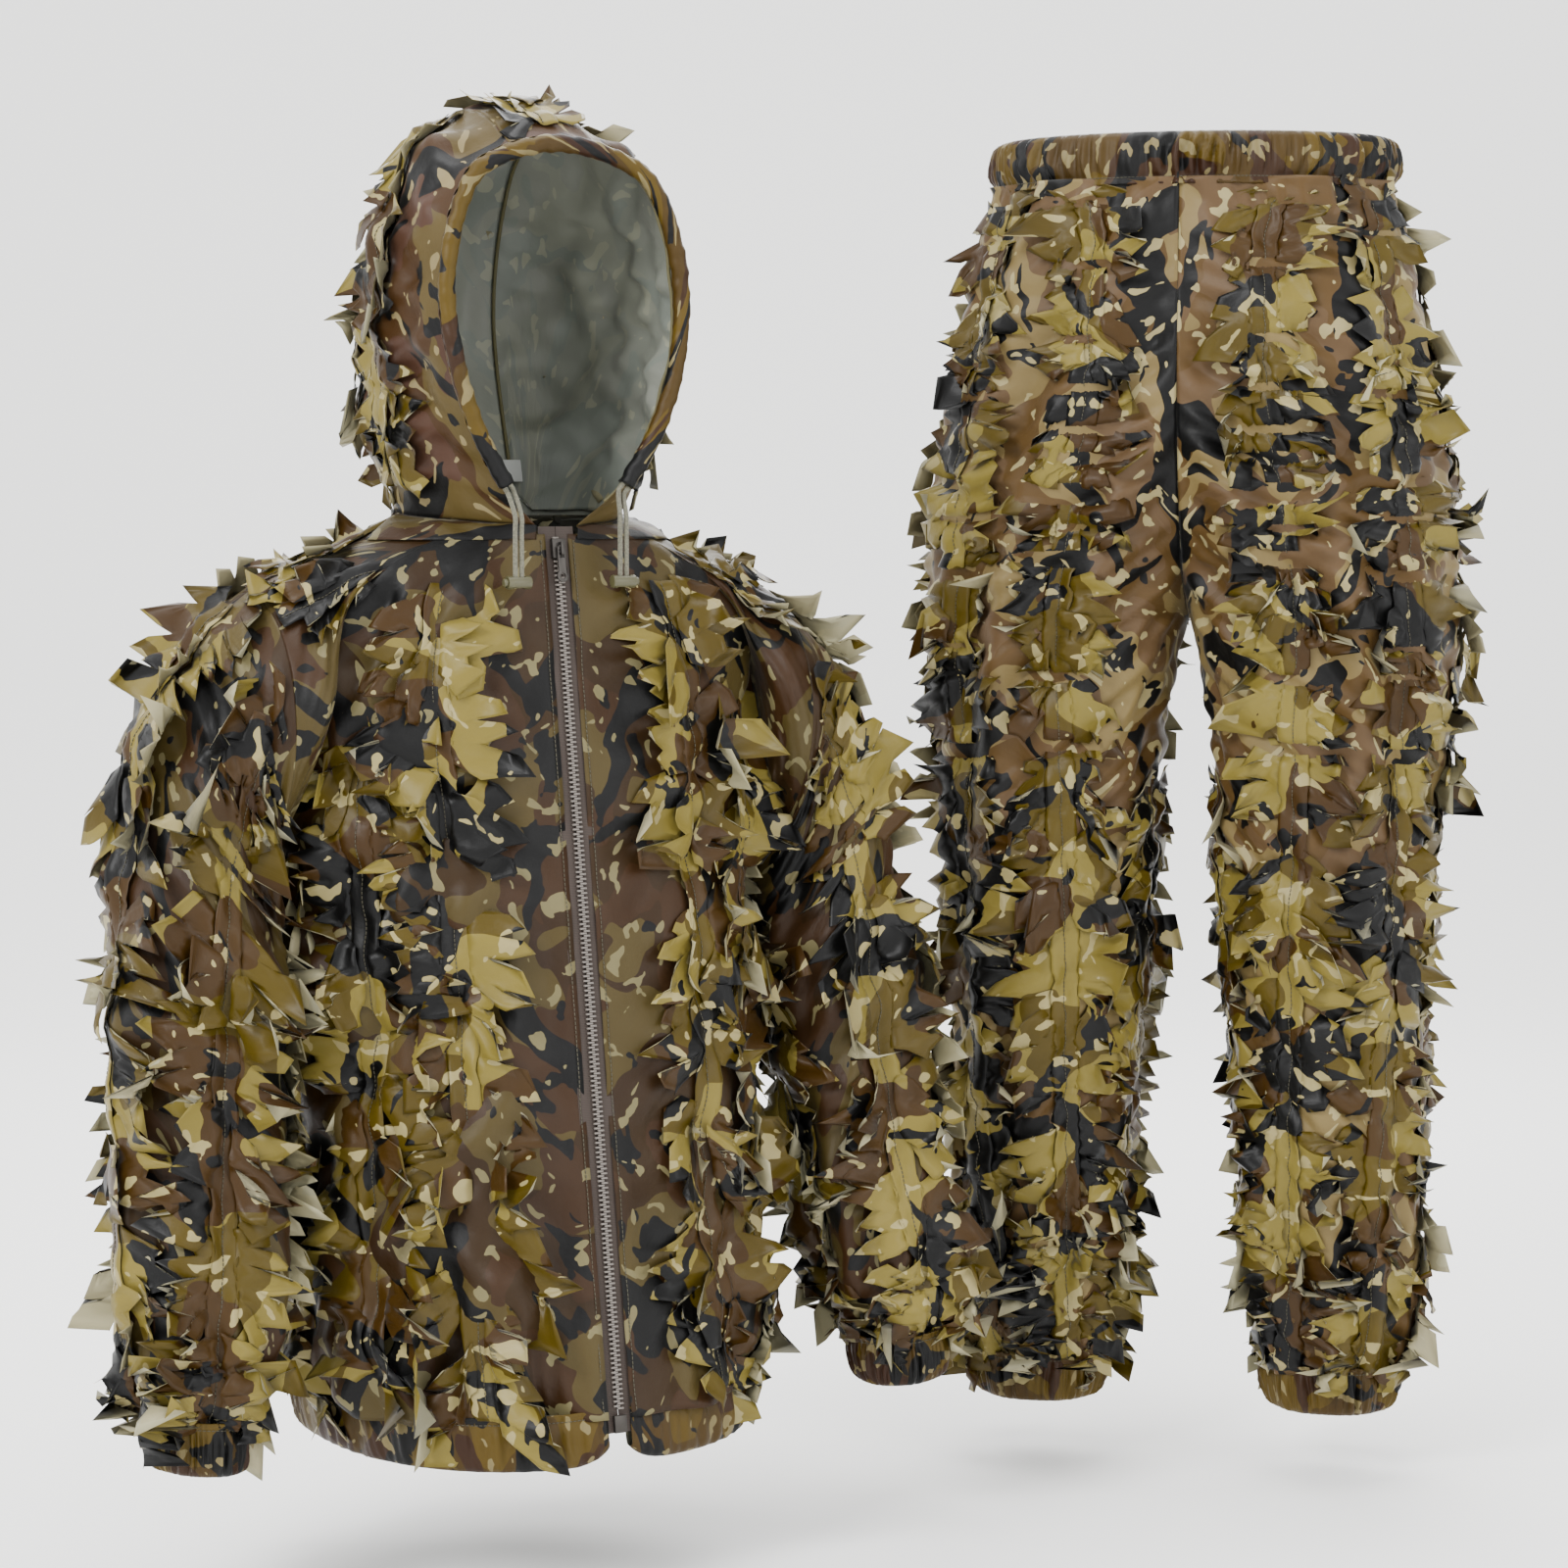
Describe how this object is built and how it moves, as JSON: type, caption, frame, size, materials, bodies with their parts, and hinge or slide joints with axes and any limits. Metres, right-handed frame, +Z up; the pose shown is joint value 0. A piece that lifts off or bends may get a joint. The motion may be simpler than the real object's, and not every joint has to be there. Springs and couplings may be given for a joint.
{
  "type": "leafy ghillie suit",
  "caption": "Leafy camouflage suit: zipped jacket with drawcord hood and gathered cuffs beside elastic-waist trousers, all covered in rows of cut cloth leaves.",
  "frame": {"origin": "inside the jacket's neck, on its middle line, level with the neck seam, where the wearer's shoulders hold it", "axes": "+Z up, +X from the jacket to the trousers, -Y towards the front; the jacket is turned 29 degrees to its left and the trousers 12 degrees to their right about Z"},
  "size_m": [1.1114, 0.7384, 1.0924],
  "materials": {
    "base_camo": "thin printed polyester, soft sheen",
    "casing_camo": "gathered printed polyester",
    "leaf_camo": "printed laser-cut polyester, pale back",
    "zip_tape": "woven tape",
    "zip_teeth": "moulded, satin",
    "slider_metal": "dark gunmetal enamel",
    "drawcord": "round braid",
    "lock_plastic": "satin",
    "label": "plain woven",
    "elastic": "covered elastic"
  },
  "bodies": {
    "jacket": {"front_panel_right": "base_camo", "front_panel_left": "base_camo", "back_panel": "base_camo", "hem_casing": "casing_camo", "hem_elastic": "elastic", "shoulder_cap_right": "base_camo", "shoulder_cap_left": "base_camo", "zip_tape_right": "zip_tape", "zip_tape_left": "zip_tape", "zip_teeth_right": "zip_teeth", "zip_teeth_left": "zip_teeth", "zip_foot_box": "slider_metal", "leaf_strip_front_inner_right": "leaf_camo", "leaf_strip_front_outer_right": "leaf_camo", "leaf_strip_back_right": "leaf_camo", "leaf_strip_front_inner_left": "leaf_camo", "leaf_strip_front_outer_left": "leaf_camo", "leaf_strip_back_left": "leaf_camo"},
    "hood": {"hood_side_right": "base_camo", "hood_side_left": "base_camo", "hood_centre": "base_camo", "hood_channel": "casing_camo", "drawcord_right_outer": "drawcord", "drawcord_right_inner": "drawcord", "drawcord_left_outer": "drawcord", "drawcord_left_inner": "drawcord", "leaf_strip_hood_right": "leaf_camo", "leaf_strip_hood_left": "leaf_camo", "leaf_strip_hood_crown": "leaf_camo", "size_label": "label"},
    "sleeve_right": {"sleeve_right": "base_camo", "cuff_right": "casing_camo", "leaf_strip_sleeve_outer_right": "leaf_camo", "leaf_strip_sleeve_front_right": "leaf_camo"},
    "sleeve_left": {"sleeve_left": "base_camo", "cuff_left": "casing_camo", "leaf_strip_sleeve_outer_left": "leaf_camo", "leaf_strip_sleeve_front_left": "leaf_camo"},
    "slider": {"zip_slider": "slider_metal"},
    "pull": {"zip_pull": "slider_metal"},
    "lock_right": {"cord_lock_right": "lock_plastic"},
    "lock_left": {"cord_lock_left": "lock_plastic"},
    "button_right": {"lock_button_right": "lock_plastic"},
    "button_left": {"lock_button_left": "lock_plastic"},
    "waist": {"waistband": "casing_camo", "waist_elastic": "elastic", "seat_front": "base_camo", "seat_back": "base_camo"},
    "leg_right": {"leg_right": "base_camo", "ankle_casing_right": "casing_camo", "leaf_strip_front_inner_leg_right": "leaf_camo", "leaf_strip_front_outer_leg_right": "leaf_camo", "leaf_strip_side_leg_right": "leaf_camo", "leaf_strip_back_leg_right": "leaf_camo"},
    "leg_left": {"leg_left": "base_camo", "ankle_casing_left": "casing_camo", "leaf_strip_front_inner_leg_left": "leaf_camo", "leaf_strip_front_outer_leg_left": "leaf_camo", "leaf_strip_side_leg_left": "leaf_camo", "leaf_strip_back_leg_left": "leaf_camo"}
  },
  "joints": [
    {"name": "hood_fold", "type": "hinge", "parent": "jacket", "child": "hood", "pos_m": [-0.032, 0.05772, -0.006], "axis": [-0.8746, -0.4848, 0], "range_deg": [0, 40]},
    {"name": "sleeve_right_swing", "type": "hinge", "parent": "jacket", "child": "sleeve_right", "pos_m": [-0.19067, -0.10569, -0.169], "axis": [-0.8746, -0.4848, 0], "range_deg": [0, 60]},
    {"name": "sleeve_left_swing", "type": "hinge", "parent": "jacket", "child": "sleeve_left", "pos_m": [0.19067, 0.10569, -0.169], "axis": [-0.8746, -0.4848, 0], "range_deg": [0, 60]},
    {"name": "zip_slide", "type": "slide", "parent": "jacket", "child": "slider", "axis": [0.0741, -0.1338, -0.9882], "range_m": [0, 0.64]},
    {"name": "pull_swing", "type": "hinge", "parent": "slider", "child": "pull", "pos_m": [0.04558, -0.08224, -0.03662], "axis": [-0.8746, -0.4848, 0], "range_deg": [0, 110]},
    {"name": "lock_right_slide", "type": "slide", "parent": "hood", "child": "lock_right", "axis": [0, 0, 1], "range_m": [0, 0.045]},
    {"name": "lock_left_slide", "type": "slide", "parent": "hood", "child": "lock_left", "axis": [0, 0, 1], "range_m": [0, 0.045]},
    {"name": "button_right_press", "type": "slide", "parent": "lock_right", "child": "button_right", "axis": [0.8746, 0.4848, 0], "range_m": [0, 0.0025], "stiffness_N_per_m": 400},
    {"name": "button_left_press", "type": "slide", "parent": "lock_left", "child": "button_left", "axis": [-0.8746, -0.4848, 0], "range_m": [0, 0.0025], "stiffness_N_per_m": 400},
    {"name": "trousers_shift", "type": "slide", "parent": "jacket", "child": "waist", "axis": [1, 0, 0], "range_m": [0, 0.4]},
    {"name": "leg_right_swing", "type": "hinge", "parent": "waist", "child": "leg_right", "pos_m": [0.39867, 0.29993, 0.262], "axis": [0.2079, 0.9781, 0], "range_deg": [0, 10]},
    {"name": "leg_left_swing", "type": "hinge", "parent": "waist", "child": "leg_left", "pos_m": [0.72733, 0.23007, 0.262], "axis": [-0.2079, -0.9781, 0], "range_deg": [0, 10]}
  ]
}
